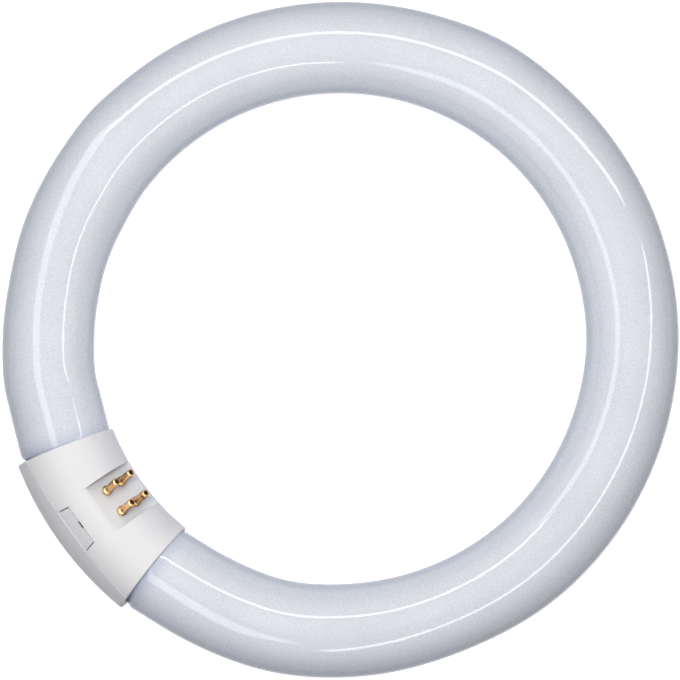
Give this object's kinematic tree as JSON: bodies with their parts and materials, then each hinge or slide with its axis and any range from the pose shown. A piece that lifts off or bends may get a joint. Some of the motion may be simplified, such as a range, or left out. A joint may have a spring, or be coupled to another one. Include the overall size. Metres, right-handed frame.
{
  "type": "circular fluorescent tube",
  "caption": "Circular fluorescent tube: an opal white glass ring whose two ends meet in a white moulded base with slanting hollow brass contact pins.",
  "frame": {"origin": "centre of the glass ring, in the plane of the ring", "axes": "+Z is the ring's axis, on the side that the pins lean to; -Y points from the ring's centre to the middle of the base; X runs along the base"},
  "size_m": [0.216, 0.2185, 0.0322],
  "materials": {
    "opal_glass": "gloss",
    "base_plastic": "satin",
    "pin_brass": "satin",
    "lead_nickel": "satin"
  },
  "bodies": {
    "root": {"glass_tube": "opal_glass", "base_front_shell": "base_plastic", "base_back_shell": "base_plastic", "contact_pin_1": "pin_brass", "contact_pin_2": "pin_brass", "contact_pin_3": "pin_brass", "contact_pin_4": "pin_brass", "lead_wire_1": "lead_nickel", "lead_wire_2": "lead_nickel", "lead_wire_3": "lead_nickel", "lead_wire_4": "lead_nickel"}
  },
  "joints": []
}
